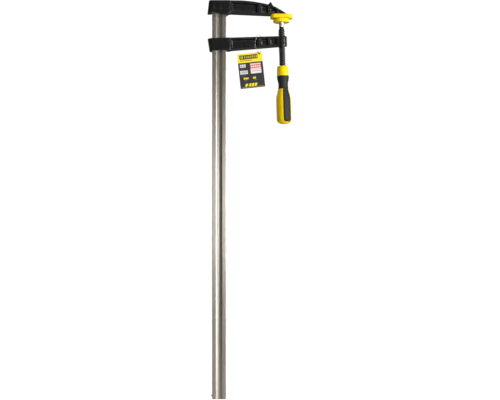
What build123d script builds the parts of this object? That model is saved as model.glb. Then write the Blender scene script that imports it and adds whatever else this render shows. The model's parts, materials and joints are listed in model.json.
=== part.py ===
from build123d import *
import math
import os

# F clamp, closed, hanging by its fixed arm. Millimetres.
# Origin: on the bar's centre line, level with the fixed arm's underside beside the bar.
# +Z up the bar, +X from the bar towards the jaws, +Y away from the front face.

# Bar
BAR_WIDTH = 30.0
BAR_THICK = 8.0
BAR_TOP = 22.0
BAR_BOTTOM = -830.5
BAR_EDGE_RADIUS = 1.2
GROOVE_WIDTH = 13.5
GROOVE_DEPTH = 1.2
STOP_PIN_RADIUS = 2.0
STOP_PIN_HEIGHT = 1.8
STOP_PIN_DEPTH = 8.0
STOP_PIN_ABOVE_END = 7.5

# Both arms
ARM_THICK = 20.0
BOSS_THICK = 24.0
BOSS_CORNER = 8.0
FLANGE = 4.2
POCKET_DEPTH = 5.5
POCKET_DRAFT = 24.0
POCKET_CORNER = 2.5
EDGE_RADIUS = 1.0
BEYOND = 60.0  # how far a cutting solid reaches past the part that it cuts

# Fixed arm: side view as (x, z) points
FIXED_BACK = [(20, 27), (46, 26.7), (77, 23.8), (106, 18.2), (116.3, 15.2), (131.5, 7.6), (147, -2.4)]
FIXED_UNDERSIDE = [(20, -0.8), (106, -4.6), (147, -4.6)]
FIXED_BOSS = [(-22, 27), (24, 27), (24, -1), (20, -1.2), (15.5, -4.8), (12, -4.4), (-14, 0.6), (-25.3, -2)]
FIXED_POCKETS = ((25.0, 82.0), (88.0, 105.0), (107.5, 123.5))
LUG_TIP = (110.9, 24.2)
TIP_STEP_X = 127.0
TIP_STEP_DEPTH = 2.5
RIVET_RADIUS = 3.0
RIVET_X = 7.0
RIVET_Z = 12.0

# Jaw plate at the fixed arm's tip, and its soft cap
JAW_X = 134.3
JAW_LENGTH = 44.0
JAW_DEPTH = 24.0
JAW_CORNER = 9.0
JAW_TOP = -4.5
JAW_FACE = -9.3
JAW_FOOT_INSET = 4.0
CAP_WALL = 2.0
CAP_TOP = -3.0
CAP_FACE = -11.0

# The screw frame has its origin at the ball's centre and its Z axis up the spindle,
# which leans because the sliding arm tips on the bar
BALL_X = 134.1
BALL_Z = -24.6
CANT = 1.75
SCREW = Location((BALL_X, 0, BALL_Z), (0, -CANT, 0))

# Swivel pad: heights above the ball's centre
PAD_AXIS = Pos(BALL_X, 0, BALL_Z)
PAD_RADIUS = 17.5
PAD_TOP = 12.3
PAD_BOTTOM = 5.0
PAD_OPENING_RADIUS = 11.5
PLATE_RADIUS = 15.4
PLATE_TOP = 10.3
PLATE_BOTTOM = 6.8
HUB_RADIUS = 10.0
HUB_BOTTOM = 5.4
COLLAR_RADIUS = 6.1
COLLAR_BOTTOM = -5.2
COLLAR_MOUTH_RADIUS = 4.4
BALL_RADIUS = 4.6
SEAT_GAP = 0.05
SEAT_RADIUS = 5.15
SEAT_MOUTH = -2.4

# Sliding arm, in the screw frame, as (x, z) points
ARM_TOP = -25.1
ARM_LOW = -46.6
SLIDING_BACK = [(-115, ARM_TOP), (-6, ARM_TOP)]
SLIDING_UNDERSIDE = [(-115, -52.4), (-6, ARM_LOW)]
SLIDING_BOSS = [(-159.9, -26), (-150, ARM_TOP), (-111.5, ARM_TOP), (-111.5, -52.6), (-156.8, -52.9)]
SLIDING_POCKETS = ((-110.5, -53.5), (-47.0, -30.0), (-27.5, -11.0))
SPINDLE_BOSS_RADIUS = 11.5
SLOT_SIDE_GAP = 0.35
SLOT_FACE_GAP = 0.3

# Spindle, in the screw frame: trapezoidal thread, 14 mm by 4 mm pitch
THREAD_RADIUS = 7.0
THREAD_GAP = 0.05
THREAD_START = -13.2
THREAD_END = -100.0
NECK_RADIUS = 3.6
NECK_END = -6.2
CONE_RADII = (4.1, 6.4)
CONE_END = -12.5
TANG_RADIUS = 5.0
TANG_END = -185.0

# Handle, in the screw frame: (radius, z) points down its side
FERRULE = [(10.6, -89), (11.9, -91), (12.4, -98), (12.75, -110)]
HANDLE_NECK = [(12.8, -110), (12.7, -115), (11.8, -120.5), (10.5, -126), (10.5, -133), (11.2, -138)]
HANDLE_BODY = [(11.2, -138), (13.4, -147), (15.5, -154.5), (16.15, -162), (16.2, -204)]
HANDLE_BASE = [(13.4, -209.6), (7.5, -213)]
HANDLE_END = -213.8
GRIP_DEPTH = 2.4
STRIP_END = -206.0
STRIP_CENTRE = 32.0
STRIP_ANGLE = 64.0

# Card tag, hung from its top right corner
TAG_TIE = Vector(87.0, 0, -85.7)
TAG_WIDTH = 53.5
TAG_HEIGHT = 75.0
TAG_THICK = 0.8
TAG_CORNER = 2.0
TAG_TURN = 6.2
TAG_HOLE_RADIUS = 2.0
TAG_HOLE_DROP = 1.3
TAG_HOLE_FROM_EDGE = 5.0
TAG_HOLE_FROM_TOP = 4.0

# String: one loop from the hole's front, round the sliding arm, to the hole's back
STRING_DIAMETER = 0.9
STRING_ROUTE = [
    (87.0, -0.3, -85.7),
    (86.0, -5.0, -84.8),
    (81.5, -11.5, -81.5),
    (77.0, -14.6, -72.0),
    (78.5, -15.0, -60.5),
    (81.5, -14.0, -50.0),
    (85.0, -6.5, -45.8),
    (88.5, 4.0, -45.4),
    (91.5, 13.0, -49.4),
    (92.5, 15.0, -60.5),
    (91.0, 14.6, -72.0),
    (89.0, 11.5, -81.5),
    (87.5, 5.0, -84.8),
    (87.0, 0.3, -85.7),
]


def side_view(points):
    """A closed outline in the XZ plane."""
    return make_face(Polyline(*[(x, 0, z) for x, z in points], close=True))


def side_plate(face, thickness):
    """A face in the XZ plane, thickened evenly to both sides."""
    return extrude(face, thickness / 2, both=True, dir=(0, 1, 0))


def lathe(points):
    """A closed outline of (radius, height) points turned about the Z axis."""
    return revolve(side_view(points), Axis.Z, 360)


def disc(radius, low, high):
    """A cylinder about the Z axis between two heights."""
    return Pos(0, 0, (low + high) / 2) * Cylinder(radius, high - low)


def rounded_block(length, depth, corner, low, high):
    """A plate with rounded corners in plan, between two heights."""
    return extrude(Pos(0, 0, low) * RectangleRounded(length, depth, corner), high - low)


def line_height(points, x):
    """Height of a broken line through (x, z) points, at x."""
    for (x0, z0), (x1, z1) in zip(points, points[1:]):
        if x <= x1:
            return z0 + (z1 - z0) * (x - x0) / (x1 - x0)
    return points[-1][1]


def pockets(back, underside, spans):
    """Drafted recesses in both sides of an arm, a flange's width inside its back and underside."""
    cuts = []
    for low, high in spans:
        corners = [(x, line_height(underside, x) + FLANGE) for x in (low, high)]
        corners += [(x, line_height(back, x) - FLANGE) for x in (high, low)]
        mouth = side_view(corners)
        mouth = fillet(mouth.vertices(), POCKET_CORNER)
        for side in (-1, 1):
            face = Pos(0, side * ARM_THICK / 2, 0) * mouth
            cuts.append(extrude(face, POCKET_DEPTH, dir=(0, -side, 0), taper=POCKET_DRAFT))
    return cuts


def soften(casting, half_thickness):
    """Round every edge that lies in the two flat sides of a casting."""
    edges = casting.edges().filter_by(lambda e: abs(abs(e.center().Y) - half_thickness) < 1e-3)
    return fillet(edges, EDGE_RADIUS)


def bar_boss(points):
    """The thick block round the bar, rounded at its outer end."""
    boss = side_plate(side_view(points), BOSS_THICK)
    outer_end = min(x for x, z in points)
    sides = boss.edges().filter_by(lambda e: abs(e.center().Y) > EDGE_RADIUS)
    uprights = sides.filter_by(lambda e: e.center().X < outer_end + EDGE_RADIUS + FLANGE)
    longest = max(edge.length for edge in uprights)
    uprights = uprights.filter_by(lambda e: e.length > longest - EDGE_RADIUS)
    return soften(fillet(uprights, BOSS_CORNER), BOSS_THICK / 2)


def make_end_stop_pin():
    length = STOP_PIN_HEIGHT + STOP_PIN_DEPTH
    centre = -BAR_WIDTH / 2 - STOP_PIN_HEIGHT + length / 2
    pin = Rot(0, 90, 0) * Cylinder(STOP_PIN_RADIUS, length)
    return Pos(centre, 0, BAR_BOTTOM + STOP_PIN_ABOVE_END) * pin


def make_rivets():
    """Two rivets across the fixed arm and the bar, flush with the boss."""
    rivet = Rot(90, 0, 0) * Cylinder(RIVET_RADIUS, BOSS_THICK)
    return Pos(-RIVET_X, 0, RIVET_Z) * rivet + Pos(RIVET_X, 0, RIVET_Z) * rivet


def make_bar(rivets, stop_pin):
    """A flat section with a shallow round groove rolled in each wide face."""
    half_thick, half_groove = BAR_THICK / 2, GROOVE_WIDTH / 2
    section = Rectangle(BAR_WIDTH, BAR_THICK)
    section = fillet(section.vertices(), BAR_EDGE_RADIUS)
    for side in (-1, 1):
        floor = (0, side * (half_thick - GROOVE_DEPTH))
        left, right = (-half_groove, side * half_thick), (half_groove, side * half_thick)
        section -= make_face([ThreePointArc(left, floor, right), Line(right, left)])
    return extrude(Pos(0, 0, BAR_BOTTOM) * section, BAR_TOP - BAR_BOTTOM) - rivets - stop_pin


def make_fixed_arm(rivets):
    back = [(x, 0, z) for x, z in FIXED_BACK]
    underside = [(x, 0, z) for x, z in reversed(FIXED_UNDERSIDE[:-1])]
    tip_x = FIXED_BACK[-1][0]
    jaw_start = JAW_X - JAW_LENGTH / 2 + JAW_FOOT_INSET
    jaw_mid = (JAW_TOP + JAW_FACE) / 2
    foot = [(tip_x, 0, jaw_mid), (jaw_start, 0, jaw_mid), (jaw_start, 0, FIXED_UNDERSIDE[-1][1])]
    outline = [
        Line(back[0], back[1]),
        ThreePointArc(back[1], back[2], back[3]),
        Polyline(back[3], (LUG_TIP[0], 0, LUG_TIP[1]), back[4]),
        ThreePointArc(back[4], back[5], back[6]),
        Polyline(back[6], *foot, *underside, back[0]),
    ]
    arm = side_plate(make_face(outline), ARM_THICK)
    arm -= pockets(FIXED_BACK, FIXED_UNDERSIDE, FIXED_POCKETS)
    for side in (-1, 1):
        beside_tip = Box(BEYOND, 2 * TIP_STEP_DEPTH, BEYOND)
        arm -= Pos(TIP_STEP_X + BEYOND / 2, side * ARM_THICK / 2, 0) * beside_tip
    arm = soften(arm, ARM_THICK / 2)
    arm += bar_boss(FIXED_BOSS)
    arm += Pos(JAW_X, 0, 0) * rounded_block(JAW_LENGTH, JAW_DEPTH, JAW_CORNER, JAW_FACE, JAW_TOP)
    socket = Pos(0, 0, BAR_TOP - BEYOND / 2) * Box(BAR_WIDTH, BAR_THICK, BEYOND)
    return arm - socket - rivets


def make_jaw_cap(fixed_arm):
    length, depth = JAW_LENGTH + 2 * CAP_WALL, JAW_DEPTH + 2 * CAP_WALL
    block = Pos(JAW_X, 0, 0) * rounded_block(length, depth, JAW_CORNER + CAP_WALL, CAP_FACE, CAP_TOP)
    return block - fixed_arm


def make_sliding_arm():
    cant = math.radians(CANT)
    arm = side_plate(side_view(SLIDING_BACK + SLIDING_UNDERSIDE[::-1]), ARM_THICK)
    arm -= pockets(SLIDING_BACK, SLIDING_UNDERSIDE, SLIDING_POCKETS)
    arm = soften(arm, ARM_THICK / 2)
    arm += bar_boss(SLIDING_BOSS)
    boss = disc(SPINDLE_BOSS_RADIUS, ARM_LOW, ARM_TOP)
    arm += fillet(boss.edges().filter_by(GeomType.CIRCLE), EDGE_RADIUS)
    arm -= disc(THREAD_RADIUS + THREAD_GAP, ARM_LOW - BEYOND, ARM_TOP + BEYOND)
    low, high = SLIDING_BOSS[-1][1], ARM_TOP
    middle = (low + high) / 2
    slot_x = (middle * math.sin(cant) - BALL_X) / math.cos(cant)
    slot_width = BAR_WIDTH / math.cos(cant) + (high - low) * math.tan(cant) + 2 * SLOT_SIDE_GAP
    slot_thick = BAR_THICK + 2 * SLOT_FACE_GAP
    arm -= Pos(slot_x, 0, middle) * Box(slot_width, slot_thick, high - low + BEYOND)
    return SCREW * arm


def make_spindle():
    neck_start = -BALL_RADIUS / 2
    shaft = lathe(
        [
            (0, neck_start),
            (NECK_RADIUS, neck_start),
            (NECK_RADIUS, NECK_END),
            (CONE_RADII[0], NECK_END),
            (CONE_RADII[1], CONE_END),
            (THREAD_RADIUS, THREAD_START),
            (THREAD_RADIUS, THREAD_END),
            (TANG_RADIUS, THREAD_END),
            (TANG_RADIUS, TANG_END),
            (0, TANG_END),
        ]
    )
    return SCREW * (shaft + Sphere(BALL_RADIUS))


def make_ball_seat():
    shell = Sphere(SEAT_RADIUS) - Sphere(BALL_RADIUS + SEAT_GAP)
    return SCREW * (shell - disc(2 * SEAT_RADIUS, -2 * SEAT_RADIUS, SEAT_MOUTH))


def make_pad_socket():
    body = disc(PLATE_RADIUS, PLATE_BOTTOM, PLATE_TOP) + disc(HUB_RADIUS, HUB_BOTTOM, PLATE_TOP)
    body += disc(COLLAR_RADIUS, COLLAR_BOTTOM, PLATE_TOP)
    body -= Sphere(SEAT_RADIUS + SEAT_GAP)
    return PAD_AXIS * (body - disc(COLLAR_MOUTH_RADIUS, COLLAR_BOTTOM - 1, 0))


def make_pad_cap():
    cap = disc(PAD_RADIUS, PAD_BOTTOM, PAD_TOP)
    cap = fillet(cap.edges().filter_by(GeomType.CIRCLE), EDGE_RADIUS)
    cap -= disc(PLATE_RADIUS, PLATE_BOTTOM, PLATE_TOP)
    return PAD_AXIS * (cap - disc(PAD_OPENING_RADIUS, PAD_BOTTOM - 1, PLATE_TOP))


def handle_solid(inset):
    """The handle below its ferrule, turned about the screw axis and drawn in by an inset."""
    neck, body, base = (
        [(r - inset, 0, z) for r, z in points] for points in (HANDLE_NECK, HANDLE_BODY, HANDLE_BASE)
    )
    end = (0, 0, HANDLE_END + inset)
    base[0] = (base[0][0], 0, base[0][2] + inset / 2)
    base[1] = (base[1][0], 0, base[1][2] + inset)
    body[-1] = (body[-1][0], 0, body[-1][2] + inset / 2)
    outline = [
        Spline(*neck),
        Spline(*body),
        Spline(body[-1], *base, end),
        Polyline(end, (0, 0, neck[0][2]), neck[0]),
    ]
    return revolve(make_face(outline), Axis.Z, 360)


def grip_zone():
    """Where the soft grip lies: all round the neck, and in two long strips down the body."""
    top, neck_end = HANDLE_NECK[0][1], HANDLE_NECK[-1][1]
    zone = disc(BEYOND, neck_end, top)
    for turn in (0, 180):
        edges = [math.radians(turn + STRIP_CENTRE + side * STRIP_ANGLE / 2) for side in (-1, 1)]
        corners = [(BEYOND * math.sin(a), -BEYOND * math.cos(a)) for a in edges]
        wedge = make_face(Polyline((0, 0), *corners, close=True))
        zone += extrude(Pos(0, 0, STRIP_END) * wedge, top - STRIP_END)
    return zone


def make_handle():
    whole = handle_solid(0)
    grip = (whole - handle_solid(GRIP_DEPTH)) & grip_zone()
    core = whole - grip - disc(TANG_RADIUS, TANG_END, 0)
    return SCREW * core, SCREW * grip


def make_ferrule():
    top, bottom = FERRULE[0][1], FERRULE[-1][1]
    ferrule = lathe([(0, top), *FERRULE, (0, bottom)])
    ferrule -= disc(THREAD_RADIUS, THREAD_END, top + 1)
    return SCREW * (ferrule - disc(TANG_RADIUS, bottom - 1, THREAD_END + 1))


def make_tag():
    hole = TAG_TIE - Vector(0, 0, TAG_HOLE_DROP)
    hole_x = TAG_WIDTH / 2 - TAG_HOLE_FROM_EDGE
    hole_y = TAG_HEIGHT / 2 - TAG_HOLE_FROM_TOP
    card = RectangleRounded(TAG_WIDTH, TAG_HEIGHT, TAG_CORNER)
    card -= Pos(hole_x, hole_y) * Circle(TAG_HOLE_RADIUS)
    card = extrude(Pos(-hole_x, -hole_y) * card, TAG_THICK / 2, both=True)
    return Pos(*hole) * Rot(0, -TAG_TURN, 0) * Rot(90, 0, 0) * card


def make_string():
    points = [Vector(*p) for p in STRING_ROUTE]
    radii = []
    for before, point, after in zip(points, points[1:], points[2:]):
        turn = (point - before).get_angle(after - point)
        shorter = min((point - before).length, (after - point).length)
        radii.append(0.45 * shorter / math.tan(math.radians(turn / 2)))
    print("string bend radii", [round(r, 1) for r in radii])
    path = FilletPolyline(*points, radius=radii)
    start = Plane(points[0], z_dir=points[1] - points[0])
    string = sweep(start * Circle(STRING_DIAMETER / 2), path)
    expected = math.pi * STRING_DIAMETER**2 / 4 * path.length
    print("string length", round(path.length, 1), "volume ratio", round(string.volume / expected, 4))
    return string


def main():
    os.makedirs("parts", exist_ok=True)
    rivets, stop_pin = make_rivets(), make_end_stop_pin()
    fixed_arm = make_fixed_arm(rivets)
    handle_core, handle_grip = make_handle()
    parts = {
        "bar": make_bar(rivets, stop_pin),
        "end_stop_pin": stop_pin,
        "fixed_arm": fixed_arm,
        "arm_rivets": rivets,
        "jaw_cap": make_jaw_cap(fixed_arm),
        "sliding_arm": make_sliding_arm(),
        "spindle": make_spindle(),
        "ball_seat": make_ball_seat(),
        "pad_socket": make_pad_socket(),
        "pad_cap": make_pad_cap(),
        "handle_core": handle_core,
        "handle_grip": handle_grip,
        "handle_ferrule": make_ferrule(),
        "hang_tag": make_tag(),
        "tag_string": make_string(),
    }
    for name, shape in parts.items():
        export_step(shape, f"parts/{name}.step")


main()
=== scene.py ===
import json
import math

import bmesh
import bpy
from mathutils import Matrix, Vector, noise
from mathutils.bvhtree import BVHTree


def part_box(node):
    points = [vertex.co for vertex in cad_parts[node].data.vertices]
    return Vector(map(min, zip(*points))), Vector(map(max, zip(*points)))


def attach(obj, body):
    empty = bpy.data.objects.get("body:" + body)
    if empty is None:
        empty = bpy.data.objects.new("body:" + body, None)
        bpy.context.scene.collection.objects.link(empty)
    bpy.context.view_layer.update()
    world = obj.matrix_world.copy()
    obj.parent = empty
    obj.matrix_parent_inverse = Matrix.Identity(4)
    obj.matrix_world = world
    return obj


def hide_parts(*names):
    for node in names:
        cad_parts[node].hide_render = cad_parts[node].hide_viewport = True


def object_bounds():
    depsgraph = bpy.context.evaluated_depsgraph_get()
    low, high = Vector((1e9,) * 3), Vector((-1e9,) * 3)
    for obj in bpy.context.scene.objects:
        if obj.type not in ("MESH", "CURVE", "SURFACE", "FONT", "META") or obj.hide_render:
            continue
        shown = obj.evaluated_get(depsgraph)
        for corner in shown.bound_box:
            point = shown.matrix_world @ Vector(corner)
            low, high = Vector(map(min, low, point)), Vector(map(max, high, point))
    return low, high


# Sizes are in metres; outlines are in millimetres and are scaled by MM where they are used.
MM = 0.001

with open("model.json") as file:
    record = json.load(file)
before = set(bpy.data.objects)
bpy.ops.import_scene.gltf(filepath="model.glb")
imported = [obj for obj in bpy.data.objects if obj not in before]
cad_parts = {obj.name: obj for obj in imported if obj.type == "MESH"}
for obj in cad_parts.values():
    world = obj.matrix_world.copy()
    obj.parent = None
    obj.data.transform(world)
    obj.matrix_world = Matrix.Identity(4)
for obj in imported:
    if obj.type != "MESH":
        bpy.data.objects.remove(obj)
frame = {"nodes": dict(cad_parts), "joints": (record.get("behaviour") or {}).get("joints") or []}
cad_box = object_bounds()
NODES = frame["nodes"]
JOINTS = {joint["name"]: joint for joint in frame["joints"]}

# The screw frame has its origin at the ball's centre and its Z axis up the spindle
BALL = Vector(JOINTS["spindle_turn"]["pos_m"])
SCREW_AXIS = Vector(JOINTS["spindle_turn"]["axis"])
SCREW = Matrix.Translation(BALL) @ Vector((0, 0, 1)).rotation_difference(SCREW_AXIS).to_matrix().to_4x4()
PAD = Matrix.Translation(BALL)


# ---------------------------------------------------------------- helpers


def lerp(a, b, t):
    """The value a share t of the way from a to b."""
    return a + (b - a) * t


def smoothstep(low, high, x):
    """0 up to low, 1 from high on, and a smooth rise between them."""
    t = min(max((x - low) / (high - low), 0.0), 1.0)
    return t * t * (3 - 2 * t)


def new_object(name, mesh, materials):
    """An object in the scene with its materials."""
    obj = bpy.data.objects.new(name, mesh)
    bpy.context.scene.collection.objects.link(obj)
    for material in materials:
        obj.data.materials.append(material)
    return obj


def mesh_piece(name, vertices, faces, materials, smooth=True):
    """An object made from lists of points and faces."""
    mesh = bpy.data.meshes.new(name)
    mesh.from_pydata([tuple(v) for v in vertices], [], faces)
    mesh.validate()
    for polygon in mesh.polygons:
        polygon.use_smooth = smooth
    return new_object(name, mesh, materials)


def settle(piece, body, slot, *nodes):
    """The piece rides on a body and stands for CAD nodes, which it hides. The slot argument is not used."""
    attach(piece, body)
    if nodes:
        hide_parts(*nodes)
    return piece


def finish(node, material):
    """Gives a CAD node that stays in view its material."""
    NODES[node].data.materials.clear()
    NODES[node].data.materials.append(material)


def apply_modifiers(obj):
    """Bakes an object's modifiers into its mesh."""
    graph = bpy.context.evaluated_depsgraph_get()
    mesh = bpy.data.meshes.new_from_object(obj.evaluated_get(graph))
    obj.modifiers.clear()
    old, obj.data = obj.data, mesh
    bpy.data.meshes.remove(old)


def tidy_mesh(obj, distance=1e-6):
    """Joins coinciding points and turns every face outwards."""
    bm = bmesh.new()
    bm.from_mesh(obj.data)
    bmesh.ops.remove_doubles(bm, verts=bm.verts, dist=distance)
    bmesh.ops.recalc_face_normals(bm, faces=bm.faces)
    bm.to_mesh(obj.data)
    bm.free()


def round_corners(points, radius, steps=5):
    """A broken line of (r, z) points with each inner corner turned into an arc-like curve.

    A corner's own third value, where it has one, is its radius.
    """
    out = [points[0]]
    for before, corner, after in zip(points, points[1:], points[2:]):
        a, c, b = Vector(before[:2]), Vector(corner[:2]), Vector(after[:2])
        reach = corner[2] if len(corner) > 2 else radius
        reach = min(reach, (a - c).length * 0.49, (b - c).length * 0.49)
        start, end = c + (a - c).normalized() * reach, c + (b - c).normalized() * reach
        for i in range(steps + 1):
            t = i / steps
            out.append(tuple(start.lerp(c, t).lerp(c.lerp(end, t), t)))
    out.append(points[-1][:2])
    return [p[:2] for p in out]


def between(a, b, c, d, t):
    """A number part of the way from b to c, on the Catmull-Rom curve through a, b, c and d."""
    straight = 2 * b + (c - a) * t
    square, cube = 2 * a - 5 * b + 4 * c - d, 3 * b - a - 3 * c + d
    return 0.5 * (straight + square * t * t + cube * t**3)


def catmull(points, steps=6):
    """A smooth curve through (r, z) points."""
    ends = [points[0], *points, points[-1]]
    out = []
    for four in zip(ends, ends[1:], ends[2:], ends[3:]):
        out += [tuple(between(*values, i / steps) for values in zip(*four)) for i in range(steps)]
    out.append(points[-1])
    return out


def lathe(name, outline, place, material, segments=96):
    """Turns an outline of (radius, height) points in millimetres about the Z axis of a frame."""
    vertices, faces = [], []
    rings = []
    for radius, height in outline:
        if radius < 1e-6:
            rings.append([len(vertices)])
            vertices.append(place @ Vector((0, 0, height * MM)))
            continue
        rings.append(list(range(len(vertices), len(vertices) + segments)))
        for i in range(segments):
            angle = 2 * math.pi * i / segments
            point = Vector((radius * math.cos(angle), radius * math.sin(angle), height)) * MM
            vertices.append(place @ point)
    for upper, lower in zip(rings, rings[1:]):
        for i in range(segments):
            j = (i + 1) % segments
            quad = [upper[i % len(upper)], upper[j % len(upper)]]
            quad += [lower[j % len(lower)], lower[i % len(lower)]]
            face = list(dict.fromkeys(quad))
            if len(face) > 2:
                faces.append(face)
    piece = mesh_piece(name, vertices, faces, [material])
    tidy_mesh(piece)
    return piece


# ---------------------------------------------------------------- materials


class Shader:
    """A material under construction: one Principled shader and the nodes that feed it."""

    def __init__(self, name, **sockets):
        self.material = bpy.data.materials.new(name)
        self.material.use_nodes = True
        self.tree = self.material.node_tree
        self.surface = self.tree.nodes["Principled BSDF"]
        for socket, value in sockets.items():
            self.surface.inputs[socket.replace("_", " ")].default_value = value

    def node(self, kind, **settings):
        made = self.tree.nodes.new(kind)
        for key, value in settings.items():
            setattr(made, key, value)
        return made

    def link(self, source, target):
        self.tree.links.new(source, target)

    def position(self, scale=(1, 1, 1)):
        """The point in the object's own frame, stretched along each axis."""
        coordinates = self.node("ShaderNodeTexCoord")
        mapping = self.node("ShaderNodeMapping")
        mapping.inputs["Scale"].default_value = scale
        self.link(coordinates.outputs["Object"], mapping.inputs["Vector"])
        return mapping.outputs["Vector"]

    def noise(self, scale, detail=3.0, stretch=(1, 1, 1)):
        """A cloud of values round one half, in cells per metre."""
        texture = self.node("ShaderNodeTexNoise")
        texture.inputs["Scale"].default_value = scale
        texture.inputs["Detail"].default_value = detail
        self.link(self.position(stretch), texture.inputs["Vector"])
        return texture.outputs["Fac"]

    def ramp(self, factor, low, high, from_low=0.35, from_high=0.65):
        """Maps a factor to a range of numbers."""
        mapped = self.node("ShaderNodeMapRange")
        mapped.inputs["From Min"].default_value = from_low
        mapped.inputs["From Max"].default_value = from_high
        mapped.inputs["To Min"].default_value = low
        mapped.inputs["To Max"].default_value = high
        self.link(factor, mapped.inputs["Value"])
        return mapped.outputs["Result"]

    def colours(self, factor, *stops):
        """Maps a factor to colours: each stop is (position, (r, g, b))."""
        ramp = self.node("ShaderNodeValToRGB")
        elements = ramp.color_ramp.elements
        while len(elements) < len(stops):
            elements.new(0.5)
        for element, (place, colour) in zip(elements, stops):
            element.position = place
            element.color = (*colour, 1)
        self.link(factor, ramp.inputs["Fac"])
        return ramp.outputs["Color"]

    def blend(self, factor, first, second):
        """Mixes two colours by a factor.

        The mix node has sockets for each kind of value: 6 and 7 are its colours, and 2 is their mix.
        """
        mix = self.node("ShaderNodeMix", data_type="RGBA")
        self.link(factor, mix.inputs["Factor"])
        for value, socket in ((first, mix.inputs[6]), (second, mix.inputs[7])):
            if isinstance(value, tuple):
                socket.default_value = (*value, 1)
            else:
                self.link(value, socket)
        return mix.outputs[2]

    def maths(self, operation, *values):
        """One step of arithmetic on numbers and outputs."""
        made = self.node("ShaderNodeMath", operation=operation)
        for value, socket in zip(values, made.inputs):
            if isinstance(value, (int, float)):
                socket.default_value = value
            else:
                self.link(value, socket)
        return made.outputs[0]

    def attribute(self, name):
        """Values stored on the mesh."""
        return self.node("ShaderNodeAttribute", attribute_name=name)

    def colour(self, output):
        self.link(output, self.surface.inputs["Base Color"])

    def roughness(self, output):
        self.link(output, self.surface.inputs["Roughness"])

    def bumps(self, *layers):
        """Stacks bump layers, each (height output, distance in metres)."""
        normal = None
        for height, distance in layers:
            bump = self.node("ShaderNodeBump")
            bump.inputs["Distance"].default_value = distance
            bump.inputs["Strength"].default_value = 1.0
            self.link(height, bump.inputs["Height"])
            if normal:
                self.link(normal, bump.inputs["Normal"])
            normal = bump.outputs["Normal"]
        self.link(normal, self.surface.inputs["Normal"])


def drawn_steel():
    """Bright rolled steel with drawing lines along its length and a thin warm film of oil."""
    shader = Shader("bar_steel", Metallic=1.0)
    lines = shader.noise(900, 4, (1, 1, 0.012))
    broad = shader.noise(60, 3, (1, 1, 0.15))
    stains = shader.noise(14, 5, (1, 1, 0.6))
    film = shader.colours(stains, (0.3, (0.60, 0.545, 0.46)), (0.7, (0.68, 0.63, 0.54)))
    streaks = shader.colours(lines, (0.3, (0.58, 0.53, 0.45)), (0.7, (0.68, 0.63, 0.545)))
    shader.colour(shader.blend(shader.ramp(broad, 0.35, 0.65), film, streaks))
    shader.roughness(shader.ramp(lines, 0.25, 0.31, 0.3, 0.7))
    shader.bumps((lines, 0.000006), (broad, 0.000012))
    return shader.material


def black_enamel(name, roughness, grain):
    """Semi-gloss black paint over a sand-cast surface."""
    shader = Shader(name, Coat_Weight=0.42, Coat_Roughness=0.12, Specular_IOR_Level=0.38)
    cast = shader.noise(420, 4)
    fine = shader.noise(1500, 2)
    patches = shader.noise(45, 3)
    shader.colour(shader.colours(patches, (0.3, (0.0030, 0.0029, 0.0032)), (0.7, (0.0054, 0.0051, 0.0054))))
    shader.roughness(shader.ramp(cast, roughness - 0.05, roughness + 0.08))
    shader.bumps((cast, grain), (fine, grain * 0.25))
    return shader.material


def black_oxide():
    """Blackened thread steel: oily, with the crests rubbed a little brighter."""
    shader = Shader("black_screw", Metallic=0.55)
    rubbed = shader.attribute("crest").outputs["Fac"]
    mottle = shader.noise(300, 4)
    dark = shader.colours(mottle, (0.3, (0.016, 0.015, 0.015)), (0.7, (0.032, 0.030, 0.029)))
    shader.colour(shader.blend(shader.maths("MULTIPLY", rubbed, 0.55), dark, (0.085, 0.080, 0.078)))
    shader.roughness(shader.ramp(mottle, 0.27, 0.42))
    shader.bumps((shader.noise(2200, 2, (1, 1, 3)), 0.00002))
    return shader.material


def zinc_plate(name):
    """Bright zinc with a faint cool bloom."""
    shader = Shader(name, Metallic=1.0)
    bloom = shader.noise(160, 4)
    dull, bright, cool = (0.66, 0.67, 0.66), (0.78, 0.78, 0.77), (0.74, 0.75, 0.79)
    shader.colour(shader.colours(bloom, (0.3, dull), (0.55, bright), (0.75, cool)))
    shader.roughness(shader.ramp(bloom, 0.30, 0.42))
    shader.bumps((shader.noise(1800, 2), 0.00001))
    return shader.material


def moulded(name, deep, bright, roughness, grain_scale, grain_depth, **sockets):
    """Moulded plastic: an even colour with slight flow marks and a fine moulded grain."""
    shader = Shader(name, **sockets)
    flow = shader.noise(38, 3)
    grain = shader.noise(grain_scale, 3)
    shader.colour(shader.colours(flow, (0.3, deep), (0.7, bright)))
    shader.roughness(shader.ramp(grain, roughness - 0.05, roughness + 0.05))
    shader.bumps((grain, grain_depth), (flow, grain_depth * 3))
    return shader.material


def printed_card():
    """Coated card: its printed colours are stored on its faces."""
    shader = Shader("tag_card", Coat_Weight=0.2, Coat_Roughness=0.3)
    ink = shader.attribute("ink").outputs["Color"]
    dots = shader.noise(2600, 2)
    fibres = shader.noise(260, 5)
    shader.colour(shader.blend(shader.ramp(dots, 0.0, 0.05), ink, (0.5, 0.5, 0.5)))
    shader.roughness(shader.ramp(fibres, 0.34, 0.46))
    shader.bumps((fibres, 0.00002))
    return shader.material


def monofilament():
    """Clear nylon line, a little milky."""
    shader = Shader("clear_string", IOR=1.53, Transmission_Weight=0.75)
    wave = shader.noise(700, 2)
    shader.colour(shader.colours(wave, (0.3, (0.78, 0.78, 0.76)), (0.7, (0.93, 0.93, 0.91))))
    shader.roughness(shader.ramp(wave, 0.15, 0.28))
    shader.bumps((wave, 0.00001))
    return shader.material


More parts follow.
